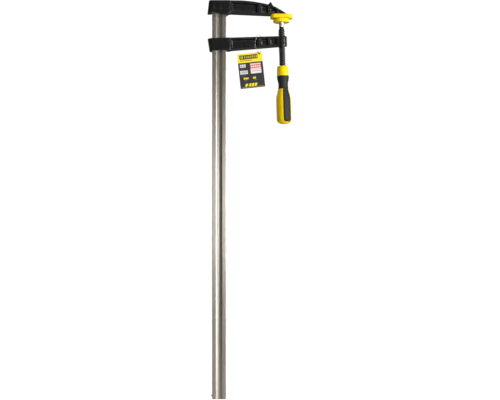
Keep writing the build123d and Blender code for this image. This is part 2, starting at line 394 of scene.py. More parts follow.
def studio_paper():
    """Pale paper that the camera sees as pure white, and that lights the object only a little."""
    shader = Shader("studio_paper")
    fibres = shader.noise(20, 4)
    shader.colour(shader.colours(fibres, (0.3, (0.38, 0.38, 0.38)), (0.7, (0.42, 0.42, 0.42))))
    shader.roughness(shader.ramp(fibres, 0.85, 0.95))
    shader.surface.inputs["Emission Color"].default_value = (1, 1, 1, 1)
    rays = shader.node("ShaderNodeLightPath")
    glow = shader.ramp(rays.outputs["Is Camera Ray"], 0.0, 1.0, 0.0, 1.0)
    shader.link(glow, shader.surface.inputs["Emission Strength"])
    return shader.material


STEEL = drawn_steel()
ARM_PAINT = black_enamel("arm_paint", 0.31, 0.00005)
OXIDE = black_oxide()
ZINC = zinc_plate("zinc_steel")
YELLOW_DEEP, YELLOW_BRIGHT = (0.90, 0.61, 0.0), (0.94, 0.66, 0.0)
CAP_YELLOW = moulded("yellow_cap", YELLOW_DEEP, YELLOW_BRIGHT, 0.45, 900, 0.00002, Specular_IOR_Level=0.22)
HARD_YELLOW = moulded(
    "yellow_plastic", YELLOW_DEEP, YELLOW_BRIGHT, 0.38, 1400, 0.00001, Specular_IOR_Level=0.22
)
RUBBER_DEEP, RUBBER_BRIGHT = (0.012, 0.0115, 0.0125), (0.017, 0.016, 0.018)
RUBBER = moulded("grip_rubber", RUBBER_DEEP, RUBBER_BRIGHT, 0.60, 1600, 0.00004, Specular_IOR_Level=0.35)
NYLON = moulded("nylon", (0.74, 0.73, 0.68), (0.80, 0.79, 0.74), 0.45, 900, 0.00001)
CARD = printed_card()
CLEAR = monofilament()
# Painted shade: the knot's dark colours stand in for the shadow in and beside the card's hole.
KNOT_SHADE_DEEP, KNOT_SHADE_BRIGHT = (0.022, 0.010, 0.003), (0.050, 0.024, 0.007)
KNOT_SHADE = moulded("knot_painted_shade", KNOT_SHADE_DEEP, KNOT_SHADE_BRIGHT, 0.8, 1200, 0.00006, Specular_IOR_Level=0.15)


# ---------------------------------------------------------------- camera, light and floor

CAMERA_DISTANCE = 1.970
CAMERA_LENS = 65.82
FLOOR_DROP = 0.22
FLOOR_REACH = 14.0
FLOOR_SIDES = 24
WORLD_LIGHT = 0.08
WORLD_SEEN = 1.05


def looking_at(place, aim):
    """Rotation that looks from one point to another."""
    return (Vector(aim) - Vector(place)).to_track_quat("-Z", "Y").to_euler()


def softbox(name, place, aim, width, height, watts, colour=(1, 1, 1)):
    """A rectangular light that the camera doesn't see."""
    light = bpy.data.lights.new(name, "AREA")
    light.shape = "RECTANGLE"
    light.size, light.size_y = width, height
    light.energy, light.color = watts, colour
    obj = bpy.data.objects.new(name, light)
    obj.location = place
    obj.rotation_euler = looking_at(place, aim)
    obj.visible_camera = False
    bpy.context.scene.collection.objects.link(obj)
    return obj


def make_camera(centre):
    """A level camera, square-on to the clamp."""
    data = bpy.data.cameras.new("camera")
    data.lens = CAMERA_LENS
    camera = bpy.data.objects.new("camera", data)
    camera.location = Vector((centre.x, -CAMERA_DISTANCE, centre.z))
    camera.rotation_euler = (math.pi / 2, 0, 0)
    bpy.context.scene.collection.objects.link(camera)
    bpy.context.scene.camera = camera
    bpy.context.scene.view_settings.view_transform = "Standard"


def make_floor(height):
    """A round pale floor, well below the clamp."""
    angles = [2 * math.pi * i / FLOOR_SIDES for i in range(FLOOR_SIDES)]
    rim = [(FLOOR_REACH * math.cos(angle), FLOOR_REACH * math.sin(angle), height) for angle in angles]
    faces = [(0, 1 + i, 1 + (i + 1) % FLOOR_SIDES) for i in range(FLOOR_SIDES)]
    floor = mesh_piece("floor", [(0, 0, height), *rim], faces, [studio_paper()], smooth=False)


def make_lights(centre):
    """Large soft lights, mostly from the right: each is placed, aimed, sized and given its watts."""
    middle = (centre.x, 0, centre.z)
    head = (BALL.x, 0, BALL.z - 0.10)
    softbox("key", (1.25, -1.5, centre.z - 0.03), middle, 0.8, 0.8, 12.5)
    softbox("front", (0.25, -2.3, centre.z - 0.03), middle, 0.6, 0.55, 3)
    softbox("overhead", (0.60, -1.15, centre.z + 1.5), head, 0.9, 0.9, 15)
    softbox("side", (1.66, -0.85, centre.z + 0.1), head, 0.35, 1.2, 15)
    softbox("glint", (1.60, -0.95, centre.z + 0.25), head, 0.12, 0.9, 7)
    softbox("left_fill", (-1.7, -1.1, centre.z + 0.2), middle, 0.6, 1.2, 1.6, (1.0, 0.54, 0.20))
    softbox("back_right", (1.4, 1.5, centre.z + 0.5), middle, 0.8, 1.4, 10)
    softbox("back_left", (-1.4, 1.5, centre.z + 0.5), middle, 0.8, 1.4, 8)
    softbox("bounce", (0.55, -0.75, centre.z - 0.6), head, 1.0, 0.8, 3)


def make_world():
    """A faint even light that the camera sees as a white background."""
    world = bpy.data.worlds.new("studio")
    bpy.context.scene.world = world
    world.use_nodes = True
    tree = world.node_tree
    background = tree.nodes["Background"]
    rays = tree.nodes.new("ShaderNodeLightPath")
    level = tree.nodes.new("ShaderNodeMapRange")
    level.inputs["To Min"].default_value = WORLD_LIGHT
    level.inputs["To Max"].default_value = WORLD_SEEN
    tree.links.new(rays.outputs["Is Camera Ray"], level.inputs["Value"])
    tree.links.new(level.outputs["Result"], background.inputs["Strength"])
    background.inputs["Color"].default_value = (1, 1, 1, 1)


def make_studio():
    """Everything round the object: camera, floor, lights and background."""
    low, high = cad_box
    centre = (low + high) / 2
    make_camera(centre)
    make_floor(low.z - FLOOR_DROP)
    make_lights(centre)
    make_world()


make_studio()


# ---------------------------------------------------------------- tag string

STRING_DIAMETER = 0.0009
STRING_ROUTE = [
    (0.0870, -0.0003, -0.0857),
    (0.0860, -0.0050, -0.0848),
    (0.0815, -0.0115, -0.0815),
    (0.0770, -0.0146, -0.0720),
    (0.0785, -0.0150, -0.0605),
    (0.0815, -0.0140, -0.0500),
    (0.0850, -0.0065, -0.0458),
    (0.0885, 0.0040, -0.0454),
    (0.0915, 0.0130, -0.0494),
    (0.0925, 0.0150, -0.0605),
    (0.0910, 0.0146, -0.0720),
    (0.0890, 0.0115, -0.0815),
    (0.0875, 0.0050, -0.0848),
    (0.0870, 0.0003, -0.0857),
]


def make_string():
    """The clear string: one loop from the card's hole round the sliding arm and back."""
    curve = bpy.data.curves.new("string_loop", "CURVE")
    curve.dimensions = "3D"
    spline = curve.splines.new("NURBS")
    spline.points.add(len(STRING_ROUTE) - 1)
    for point, place in zip(spline.points, STRING_ROUTE):
        point.co = (*place, 1)
    spline.order_u = 3
    spline.use_endpoint_u = True
    spline.resolution_u = 16
    curve.bevel_depth = STRING_DIAMETER / 2
    curve.bevel_resolution = 4
    curve.use_fill_caps = True
    piece = new_object("string_loop", curve, [CLEAR])
    settle(piece, "sliding_arm", "clear_string", "tag_string")


make_string()


# ---------------------------------------------------------------- bar and its stop

BAR_RING_STEP = 0.02
BAR_CHAMFER = 0.0008
BAR_CORNER = 0.0006
BAR_CORNER_STEPS = 6
BAR_FLAT_EDGE = 0.0005
BAR_GROOVE = 0.00675
BAR_GROOVE_DEPTH = 0.0012
BAR_GROOVE_STEPS = 24


def bar_section(half_width, half_thick):
    """Half of the bar's outline, across its front face from left to right, and the same behind."""
    left = []
    for i in range(BAR_CORNER_STEPS + 1):
        angle = math.radians(90 * i / BAR_CORNER_STEPS)
        x = -half_width + BAR_CORNER * (1 - math.cos(angle))
        left.append((x, half_thick - BAR_CORNER * (1 - math.sin(angle))))
    flat = (-half_width + BAR_CORNER + BAR_FLAT_EDGE, -BAR_GROOVE - BAR_FLAT_EDGE)
    left += [(x, half_thick) for x in flat]
    radius = (BAR_GROOVE**2 + BAR_GROOVE_DEPTH**2) / (2 * BAR_GROOVE_DEPTH)
    limit = math.asin(BAR_GROOVE / radius)
    groove = []
    for i in range(BAR_GROOVE_STEPS + 1):
        angle = lerp(-limit, limit, i / BAR_GROOVE_STEPS)
        sunk = radius * math.cos(angle) - (radius - BAR_GROOVE_DEPTH)
        groove.append((radius * math.sin(angle), half_thick - sunk))
    front = left + groove + [(-x, y) for x, y in reversed(left)]
    return [(x, -y) for x, y in front] + [(-x, y) for x, y in front]


def make_bar():
    """The bar: its outline repeated up its length, with both ends chamfered."""
    low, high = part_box("bar")
    half_width, half_thick = (high.x - low.x) / 2, (high.y - low.y) / 2
    section = bar_section(half_width, half_thick)
    heights = [low.z, low.z + BAR_CHAMFER]
    count = round((high.z - low.z) / BAR_RING_STEP)
    heights += [lerp(low.z, high.z, i / count) for i in range(1, count)]
    heights += [high.z - BAR_CHAMFER, high.z]
    vertices, faces = [], []
    for index, height in enumerate(heights):
        inset = BAR_CHAMFER if index in (0, len(heights) - 1) else 0
        scale = Vector((1 - inset / half_width, 1 - inset / half_thick))
        vertices += [(x * scale.x, y * scale.y, height) for x, y in section]
    n = len(section)
    for ring in range(len(heights) - 1):
        for i in range(n):
            j = (i + 1) % n
            faces.append((ring * n + i, ring * n + j, (ring + 1) * n + j, (ring + 1) * n + i))
    faces.append(tuple(reversed(range(n))))
    faces.append(tuple(range((len(heights) - 1) * n, len(heights) * n)))
    piece = mesh_piece("steel_bar", vertices, faces, [STEEL])
    tidy_mesh(piece)
    piece.data.set_sharp_from_angle(angle=math.radians(28))
    settle(piece, "frame", "bar_steel", "bar")


make_bar()

finish("end_stop_pin", STEEL)


# ---------------------------------------------------------------- cast arms

ARM_HALF_THICK = 0.010
CAST_VOXEL = 0.00055
CAST_SMOOTHING = 3
CAST_UNEVENNESS = 0.00007
CAST_SINK = 1.2
COARSE_WAVE, FINE_WAVE = 110, 300
POCKET_ROUNDING = 6
POCKET_MARGIN_RINGS = 4
POCKET_LIP = 0.0006
POCKET_LEAST_DEPTH = 0.002
POCKET_MARGIN_FACING = 0.3
POCKET_FLOOR_FACING = 0.8
POCKET_WALL_FACING = 0.6
FILLET = 0.0034
FILLET_CLEAR = 0.0008
FILLET_END = 0.120


def mark_pockets(piece):
    """A vertex group of the pockets' floors and walls and a margin round them."""
    mesh = piece.data
    near = set()
    for vertex in mesh.vertices:
        below = abs(vertex.co.y) < ARM_HALF_THICK - POCKET_LIP
        if below and abs(vertex.normal.y) > POCKET_MARGIN_FACING:
            near.add(vertex.index)
    for _ in range(POCKET_MARGIN_RINGS):
        grown = set(near)
        for edge in mesh.edges:
            a, b = edge.vertices
            if a in near or b in near:
                grown.update((a, b))
        near = grown
    group = piece.vertex_groups.new(name="pockets")
    group.add(sorted(near), 1.0, "REPLACE")


def fillet_pocket_ends(piece):
    """Raises each pocket's floor beside the wall at its left into a foundry fillet."""
    mesh = piece.data
    tree = BVHTree.FromPolygons([v.co for v in mesh.vertices], [face.vertices for face in mesh.polygons])
    places = []
    for vertex in mesh.vertices:
        point = vertex.co.copy()
        sunk = abs(point.y) < ARM_HALF_THICK - POCKET_LEAST_DEPTH
        if sunk and abs(vertex.normal.y) > POCKET_FLOOR_FACING and point.x < FILLET_END:
            out = 1 if point.y > 0 else -1
            eye = point + Vector((0, out * FILLET_CLEAR, 0))
            hit, wall_normal, _, distance = tree.ray_cast(eye, Vector((-1, 0, 0)), FILLET)
            if hit and wall_normal.x > POCKET_WALL_FACING:
                rise = FILLET - math.sqrt(max(0.0, FILLET**2 - (FILLET - distance) ** 2))
                point.y = out * min(abs(point.y) + rise, ARM_HALF_THICK - POCKET_LIP)
        places.extend(point)
    mesh.vertices.foreach_set("co", places)
    mesh.update()


def cast_copy(name, node, body):
    """A copy of a casting with rounded edges and slightly uneven faces, as sand leaves them."""
    piece = new_object(name, NODES[node].data.copy(), [])
    piece.data.materials.clear()
    tidy_mesh(piece)
    remesh = piece.modifiers.new("remesh", "REMESH")
    remesh.mode = "VOXEL"
    remesh.voxel_size = CAST_VOXEL
    smooth = piece.modifiers.new("smooth", "SMOOTH")
    smooth.factor, smooth.iterations = 0.5, CAST_SMOOTHING
    apply_modifiers(piece)
    fillet_pocket_ends(piece)
    mark_pockets(piece)
    rounding = piece.modifiers.new("rounding", "SMOOTH")
    rounding.vertex_group = "pockets"
    rounding.factor, rounding.iterations = 0.5, POCKET_ROUNDING
    apply_modifiers(piece)
    low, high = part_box(node)
    surface = [(vertex.co.copy(), vertex.normal.copy()) for vertex in piece.data.vertices]
    places = []
    for point, normal in surface:
        wave = noise.noise(point * COARSE_WAVE) + 0.5 * noise.noise(point * FINE_WAVE)
        moved = point - normal * CAST_UNEVENNESS * (CAST_SINK + wave)
        places += [min(max(value, a), b) for value, a, b in zip(moved, low, high)]
    piece.data.vertices.foreach_set("co", places)
    piece.data.update()
    for polygon in piece.data.polygons:
        polygon.use_smooth = True
    piece.data.materials.append(ARM_PAINT)
    settle(piece, body, "arm_paint", node)


cast_copy("cast_fixed_arm", "fixed_arm", "frame")
cast_copy("cast_sliding_arm", "sliding_arm", "sliding_arm")

finish("arm_rivets", ARM_PAINT)


# ---------------------------------------------------------------- jaw cap


CAP_EDGE = 0.0007
CAP_EDGE_STEPS = 3


def make_jaw_cap():
    """The soft cap: a copy of the CAD cap with its edges rounded as the mould leaves them."""
    piece = new_object("jaw_cap_soft", NODES["jaw_cap"].data.copy(), [])
    piece.data.materials.clear()
    tidy_mesh(piece)
    bm = bmesh.new()
    bm.from_mesh(piece.data)
    bmesh.ops.dissolve_limit(bm, angle_limit=math.radians(2), verts=bm.verts, edges=bm.edges)
    bm.to_mesh(piece.data)
    bm.free()
    bevel = piece.modifiers.new("bevel", "BEVEL")
    bevel.width, bevel.segments = CAP_EDGE, CAP_EDGE_STEPS
    bevel.limit_method, bevel.angle_limit = "ANGLE", math.radians(25)
    apply_modifiers(piece)
    for polygon in piece.data.polygons:
        polygon.use_smooth = True
    piece.data.set_sharp_from_angle(angle=math.radians(35))
    piece.data.materials.append(CAP_YELLOW)
    settle(piece, "frame", "yellow_cap", "jaw_cap")


make_jaw_cap()


# ---------------------------------------------------------------- swivel pad

PAD_CAP_OUTLINE = [
    (0, 12.3), (17.3, 12.3, 0.8), (17.45, 11.0, 0.6), (17.5, 6.6, 0.8), (17.4, 5.0, 0.8),
    (8.6, 5.0, 0.7), (8.6, 6.8, 0.4), (15.35, 6.8, 0.3), (15.35, 10.3, 0.3), (0, 10.3),
]
SOCKET_OUTLINE = [
    (0, 10.25), (15.3, 10.25, 0.3), (15.3, 6.85, 0.3), (8.2, 6.85, 0.5), (8.2, 5.4, 0.6),
    (6.4, 5.4, 0.7), (6.1, 4.4, 0.5), (6.1, -3.6, 0.8), (5.5, -5.2, 0.5), (4.5, -5.2, 0.3),
    (4.5, -2.2, 0.5), (5.2, 0.5, 1.0), (5.0, 2.2, 1.0), (3.4, 4.0, 1.0), (0, 5.2),
]

pad_cap = lathe("pad_cap_soft", round_corners(PAD_CAP_OUTLINE, 0.5), PAD, CAP_YELLOW)
settle(pad_cap, "pad", "yellow_cap", "pad_cap")
socket = lathe("pad_ball_socket", round_corners(SOCKET_OUTLINE, 0.5), PAD, ZINC)
settle(socket, "pad", "zinc_steel", "pad_socket")

finish("ball_seat", NYLON)


# ---------------------------------------------------------------- spindle

PITCH = 4.0
CREST_RADIUS = 7.0
ROOT_RADIUS = 5.4
CREST_HALF = 0.88
ROOT_HALF = 0.48
THREAD_START = -12.9
THREAD_END = -91.0
THREAD_SEGMENTS = 72
RUN_OUT = 2.0
NOSE_RADIUS = 6.4
CREST_BEVEL = 0.16
SPINDLE_BALL_RADIUS = 4.6
SHANK_RADIUS = 3.6
SPINDLE_END = -185.0


def thread_profile():
    """One pitch of the trapezoidal thread as (height, radius, how much it is rubbed)."""
    root = PITCH / 2 - ROOT_HALF
    shoulder = CREST_HALF + CREST_BEVEL * 0.4
    crest = CREST_HALF - CREST_BEVEL / 2
    return [
        (-root, ROOT_RADIUS, 0.0),
        (-shoulder, CREST_RADIUS - CREST_BEVEL, 0.5),
        (-crest, CREST_RADIUS, 1.0),
        (crest, CREST_RADIUS, 1.0),
        (shoulder, CREST_RADIUS - CREST_BEVEL, 0.5),
        (root, ROOT_RADIUS, 0.0),
    ]


def make_spindle():
    """The ball, the neck and the cone are turned; the thread is one helical surface."""
    head = lathe("spindle_screw", round_corners(ball_neck(), 0.3), SCREW, OXIDE, THREAD_SEGMENTS)
    profile = thread_profile()
    per_pitch = len(profile)
    turns = int((THREAD_START - THREAD_END) / PITCH) + 2
    heights, radii, rubbed = [], [], []
    for turn in range(-1, turns):
        for height, radius, wear in profile:
            heights.append(THREAD_END + turn * PITCH + height)
            radii.append(radius)
            rubbed.append(wear)
    vertices, wear_values, faces = [], [], []
    count = len(heights)
    for j in range(THREAD_SEGMENTS):
        angle = 2 * math.pi * j / THREAD_SEGMENTS
        rise = PITCH * j / THREAD_SEGMENTS
        for height, radius, wear in zip(heights, radii, rubbed):
            z = height + rise
            inside = THREAD_END < z < THREAD_START
            z = min(max(z, THREAD_END), THREAD_START)
            limit = cone_radius(z)
            r = min(radius, limit) if inside else min(ROOT_RADIUS, limit)
            vertices.append(SCREW @ (Vector((r * math.cos(angle), r * math.sin(angle), z)) * MM))
            wear_values.append(wear if inside else 0.0)
    for j in range(THREAD_SEGMENTS):
        last = j == THREAD_SEGMENTS - 1
        other, shift = (0, per_pitch) if last else (j + 1, 0)
        for k in range(count - 1 - shift):
            a, b = j * count + k, j * count + k + 1
            c, d = other * count + k + 1 + shift, other * count + k + shift
            faces.append((a, b, c, d))
    thread = mesh_piece("thread", vertices, faces, [OXIDE])
    layer = thread.data.attributes.new("crest", "FLOAT", "POINT")
    layer.data.foreach_set("value", wear_values)
    tidy_mesh(thread)
    join(head, thread, ["crest"])
    head.data.set_sharp_from_angle(angle=math.radians(30))
    settle(head, "spindle", "black_screw", "spindle")


def cone_radius(z):
    """The first turn of the thread fades into the spindle's conical nose."""
    return lerp(CREST_RADIUS, NOSE_RADIUS, smoothstep(THREAD_START - RUN_OUT, THREAD_START, z))


def ball_neck():
    """Outline of the ball, the neck, the smooth part of the nose and the core under the thread."""
    outline = [(0, SPINDLE_BALL_RADIUS)]
    lowest = -math.degrees(math.acos(SHANK_RADIUS / SPINDLE_BALL_RADIUS))
    for i in range(1, 13):
        angle = math.radians(lerp(90, lowest, i / 12))
        outline.append((SPINDLE_BALL_RADIUS * math.cos(angle), SPINDLE_BALL_RADIUS * math.sin(angle), 0.01))
    core = ROOT_RADIUS - 0.1
    outline += [(SHANK_RADIUS, -5.5, 0.1), (4.3, -6.1, 0.15), (6.0, -10.2, 0.5), (NOSE_RADIUS, -12.3, 0.5)]
    outline += [(NOSE_RADIUS, THREAD_START - 0.3, 0.1), (core, THREAD_START - 0.6, 0.1)]
    return outline + [(core, SPINDLE_END, 0.01), (0, SPINDLE_END)]


def join(target_piece, other, layers=()):
    """Adds another object's mesh to a piece, keeping the named layers of point values."""
    bm = bmesh.new()
    for name in layers:
        bm.verts.layers.float.new(name)
    bm.from_mesh(target_piece.data)
    bm.from_mesh(other.data)
    bm.to_mesh(target_piece.data)
    bm.free()
    mesh = other.data
    bpy.data.objects.remove(other)
    bpy.data.meshes.remove(mesh)


make_spindle()


# ---------------------------------------------------------------- handle

FERRULE_OUTLINE = [
    (7.2, -92.0), (7.2, -89.0, 0.4), (10.6, -89.0, 0.9), (11.9, -91.0, 0.9), (12.4, -98.0, 2.0),
    (12.62, -104.6, 0.1), (12.45, -104.9, 0.1), (12.45, -105.3, 0.1), (12.68, -105.6, 0.1),
    (12.75, -109.8, 0.2), (12.4, -110.0, 0.1), (7.2, -110.0),
]
NECK_OUTLINE = [(12.8, -110), (12.75, -115), (11.8, -120.5), (10.5, -126), (10.5, -133), (11.2, -138)]
BODY_OUTLINE = [
    (11.2, -138), (13.4, -147), (15.4, -154.5), (16.1, -162), (16.2, -175), (16.2, -190), (16.15, -203),
]
BASE_OUTLINE = [(16.15, -203), (15.6, -206.4), (13.6, -209.5), (10.4, -211.8), (6.5, -213.2), (0.0, -213.8)]
STRIP_CENTRE = 29.8
STRIP_HALF = 35.8
STRIP_LOW = -209.0
STRIP_CORNER = 4.5
STRIP_GAP = 0.35
STRIP_FOOT_GAP = 0.25
STRIP_CROWN, STRIP_CROWN_REACH = 0.7, 0.8
STRIP_ROWS, STRIP_COLUMNS = 80, 26
GRIP_DEPTH = 2.0
HANDLE_SEGMENTS = 180
BODY_ROWS = 90
BAY_WALL = (-0.35, 0.25)


def outline_radius(outline):
    """The radius of a smooth outline as a function of height."""
    curve = catmull(outline)

    def radius(z):
        for (r0, z0), (r1, z1) in zip(curve, curve[1:]):
            if z0 >= z >= z1:
                return lerp(r0, r1, (z0 - z) / max(z0 - z1, 1e-9))
        return curve[-1][0] if z < curve[-1][1] else curve[0][0]

    return radius


neck_radius = outline_radius(NECK_OUTLINE)
body_radius = outline_radius(BODY_OUTLINE)
base_radius = outline_radius(BASE_OUTLINE)


def handle_radius(z):
    """The handle's radius at any height below the collar."""
    if z > NECK_OUTLINE[-1][1]:
        return neck_radius(z)
    return body_radius(z) if z > BODY_OUTLINE[-1][1] else base_radius(z)


def strip_half_angle(z):
    """Half of a strip's width in degrees: it narrows in a quarter circle at its lower end."""
    into = (STRIP_LOW + STRIP_CORNER - z) / STRIP_CORNER
    if into <= 0:
        return STRIP_HALF
    z = max(z, STRIP_LOW)
    cut = STRIP_CORNER * (1 - math.sqrt(max(0.0, 1 - min(into, 1.0) ** 2)))
    return STRIP_HALF - math.degrees(cut / handle_radius(z))


def make_handle_core():
    """The yellow body: two bays for the strips, with a fine shadow gap along their edges."""
    top = NECK_OUTLINE[-1][1]
    heights = [lerp(top, STRIP_LOW, i / BODY_ROWS) for i in range(BODY_ROWS + 1)]
    heights += [STRIP_LOW - 0.3, STRIP_LOW - 0.8] + [z for r, z in catmull(BASE_OUTLINE[2:], 5)]
    heights = sorted(set(heights), reverse=True)
    bay = GRIP_DEPTH + 0.2
    vertices, faces = [SCREW @ Vector((0, 0, top * MM))], []
    rows = []
    for z in heights:
        radius = handle_radius(z)
        row = []
        for i in range(HANDLE_SEGMENTS):
            turn = 360 * i / HANDLE_SEGMENTS
            from_strip = abs((turn - STRIP_CENTRE + 90) % 180 - 90)
            edge = (strip_half_angle(z) - from_strip) * math.radians(1) * radius
            inside = smoothstep(*BAY_WALL, edge) if z >= STRIP_LOW else 0.0
            r = max(radius - bay * inside, 0)
            angle = math.radians(turn)
            row.append(len(vertices))
            vertices.append(SCREW @ (Vector((r * math.sin(angle), -r * math.cos(angle), z)) * MM))
        rows.append(row)
    for upper, lower in zip(rows, rows[1:]):
        for i in range(HANDLE_SEGMENTS):
            j = (i + 1) % HANDLE_SEGMENTS
            faces.append((upper[i], lower[i], lower[j], upper[j]))
    for i in range(HANDLE_SEGMENTS):
        faces.append((0, rows[0][i], rows[0][(i + 1) % HANDLE_SEGMENTS]))
    core = mesh_piece("handle_body", vertices, faces, [HARD_YELLOW])
    tidy_mesh(core, 0.000002)
    core.data.set_sharp_from_angle(angle=math.radians(50))
    settle(core, "spindle", "yellow_plastic", "handle_core")


def grip_strip(centre):
    """Vertices and faces of one strip, crowned over its edges and rounded at its lower end."""
    top = NECK_OUTLINE[-1][1] + 1.0
    rows, columns = STRIP_ROWS, STRIP_COLUMNS
    foot = STRIP_LOW + STRIP_FOOT_GAP
    vertices, faces = [], []
    for layer, sink in ((0, 0.0), (1, GRIP_DEPTH)):
        for row in range(rows + 1):
            z = lerp(top, foot, row / rows)
            radius = handle_radius(z)
            half = strip_half_angle(z) - math.degrees(STRIP_GAP / radius) * 0.5
            for column in range(columns + 1):
                across = lerp(-1, 1, column / columns)
                across = math.sin(across * math.pi / 2) * 0.6 + across * 0.4
                side = (1 - abs(across)) * math.radians(half) * radius
                near = min(side, z - foot)
                crown = 0.0 if layer else STRIP_CROWN * (1 - smoothstep(0.0, STRIP_CROWN_REACH, near))
                r = radius - sink - crown
                angle = math.radians(centre + across * half)
                vertices.append(SCREW @ (Vector((r * math.sin(angle), -r * math.cos(angle), z)) * MM))
    wide, size = columns + 1, (rows + 1) * (columns + 1)
    for row in range(rows):
        for column in range(columns):
            a = row * wide + column
            faces.append((a, a + wide, a + wide + 1, a + 1))
            faces.append((size + a, size + a + 1, size + a + wide + 1, size + a + wide))
    for row in range(rows):
        for column in (0, columns):
            a = row * wide + column
            faces.append((a, a + wide, size + a + wide, size + a))
    for column in range(columns):
        for row in (0, rows):
            a = row * wide + column
            faces.append((a, a + 1, size + a + 1, size + a))
    return vertices, faces


def make_grip():
    """The soft grip: a sleeve round the neck and two long strips."""
    neck = [(8.0, -110.2), *round_neck(), (8.0, -138.2)]
    grip = lathe("handle_soft_grip", neck, SCREW, RUBBER, 120)
    for centre in (STRIP_CENTRE, STRIP_CENTRE + 180):
        vertices, faces = grip_strip(centre)
        strip = mesh_piece("strip", vertices, faces, [RUBBER])
        tidy_mesh(strip)
        join(grip, strip)
    grip.data.set_sharp_from_angle(angle=math.radians(50))
    settle(grip, "spindle", "grip_rubber", "handle_grip")


def round_neck():
    """The sleeve's outline with its two rims rounded."""
    curve = catmull(NECK_OUTLINE)
    (top_r, top_z), (low_r, low_z) = curve[0], curve[-1]
    rim = [(top_r - 0.7, top_z - 0.1), (top_r - 0.2, top_z - 0.25), (top_r - 0.02, top_z - 0.8)]
    foot = [(low_r - 0.02, low_z + 0.5), (low_r - 0.25, low_z + 0.12), (low_r - 0.8, low_z)]
    return rim + [p for p in curve if top_z - 1.0 > p[1] > low_z + 0.9] + foot


make_handle_core()
make_grip()
ferrule = lathe("handle_collar", round_corners(FERRULE_OUTLINE, 0.3), SCREW, HARD_YELLOW, 120)
settle(ferrule, "spindle", "yellow_plastic", "handle_ferrule")


# ---------------------------------------------------------------- hang tag

YELLOW_INK = (0.95, 0.76, 0.0)
BLACK_INK = (0.014, 0.012, 0.015)
WHITE_INK = (0.80, 0.80, 0.80)
GREY_INK = (0.22, 0.21, 0.22)
RED_INK = (0.70, 0.10, 0.07)
PINK_INK = (0.86, 0.60, 0.58)
TAG_WIDTH, TAG_HEIGHT, TAG_THICK = 53.5, 75.0, 0.8
TAG_TURN = 6.2
TAG_CORNER = 2.0
TAG_HEADER = 0.263
TAG_HOLE_DROP = 0.0013
TAG_HOLE = (48.5, 4.0)
TAG_HOLE_RADIUS = 1.6
TAG_HOLE_SIDES = 28
KNOT_LINE = [
    (44.2, -0.2, 0.35), (45.6, 0.9, 0.65), (47.2, 2.3, 1.00),
    (48.6, 3.7, 1.30), (49.5, 4.7, 0.9), (49.9, 5.1, 0.25),
]
KNOT_SIDES, KNOT_STEPS = 14, 4
KNOT_LIFT = 0.55
INK_SINK = 0.04
INK_LIFT = 0.03
INK_LAYERS = 60
CARD_HALF = TAG_THICK / 2 - INK_SINK
CARD_EDGE = (0.62, 0.60, 0.56)

TIE = Vector(JOINTS["tag_swing"]["pos_m"])
CARD_TURN = Matrix.Rotation(math.radians(-TAG_TURN), 4, "Y")
CARD_PLACE = Matrix.Translation(TIE - Vector((0, 0, TAG_HOLE_DROP))) @ CARD_TURN


def on_card(x, y, depth):
    """Millimetres from the card's top left corner, and in front of its middle, to the frame."""
    return CARD_PLACE @ (Vector((x - TAG_HOLE[0], -depth, TAG_HOLE[1] - y)) * MM)


def slanted(left, right, top, bottom, lean=0.0):
    """A block of ink as four (u, v) corners in fractions of the card, leaning right at its top."""
    return [(left + lean, top), (right + lean, top), (right, bottom), (left, bottom)]


def ink_blocks():
    """Everything printed on the card's front, in order: a colour and its corners."""
    blocks = [
        (BLACK_INK, slanted(0.083, 0.815, 0.045, 0.167)),
        (BLACK_INK, slanted(0.10, 0.60, 0.199, 0.213)),
        (GREY_INK, slanted(0.476, 0.917, 0.300, 0.594)),
        (WHITE_INK, slanted(0.486, 0.907, 0.306, 0.590)),
        (RED_INK, slanted(0.486, 0.907, 0.335, 0.437)),
        (PINK_INK, slanted(0.486, 0.907, 0.437, 0.495)),
        (GREY_INK, slanted(0.540, 0.860, 0.517, 0.530)),
        (YELLOW_INK, slanted(0.05, 0.95, 0.968, 0.974)),
    ]
    header = [0.13, 0.19, 0.28, 0.37, 0.45, 0.53, 0.61, 0.69, 0.75]
    blocks += [(YELLOW_INK, slanted(u, u + 0.028, 0.072, 0.138, 0.010)) for u in header]
    for count, left, top, bottom in ((3, 0.07, 0.305, 0.395), (4, 0.05, 0.485, 0.590)):
        pitch = 0.082
        for i in range(count):
            u = left + i * pitch
            blocks.append((WHITE_INK, slanted(u, u + 0.066, top, bottom)))
            blocks.append((BLACK_INK, slanted(u + 0.024, u + 0.042, top + 0.028, bottom - 0.028)))
    blocks += [(GREY_INK, slanted(u, u + 0.05, 0.425, 0.436)) for u in (0.10, 0.17)]
    blocks += [(GREY_INK, slanted(u, u + 0.05, 0.625, 0.636)) for u in (0.10, 0.17)]
    blocks += [(WHITE_INK, slanted(u, u + 0.05, 0.365, 0.412)) for u in (0.52, 0.60, 0.68, 0.76, 0.84)]
    blocks += [(YELLOW_INK, slanted(u, u + 0.05, 0.687, 0.743)) for u in (0.17, 0.24, 0.31)]
    blocks += [(YELLOW_INK, slanted(u, u + 0.05, 0.687, 0.743)) for u in (0.55, 0.61)]
    blocks += [(GREY_INK, slanted(u, u + 0.11, 0.770, 0.779)) for u in (0.20, 0.60)]
    blocks += [(YELLOW_INK, slanted(u, u + 0.085, 0.866, 0.948, 0.045)) for u in (0.19, 0.34, 0.455, 0.57)]
    blocks.append((YELLOW_INK, slanted(0.29, 0.335, 0.898, 0.914)))
    return blocks


def back_blocks():
    """The card's back: a heading and a few lines of plain marks."""
    blocks = [(YELLOW_INK, slanted(0.10, 0.90, 0.10, 0.125))]
    for line in range(9):
        top = 0.33 + 0.06 * line
        blocks.append((GREY_INK, slanted(0.12, 0.88 - 0.09 * (line % 3), top, top + 0.014)))
    return blocks


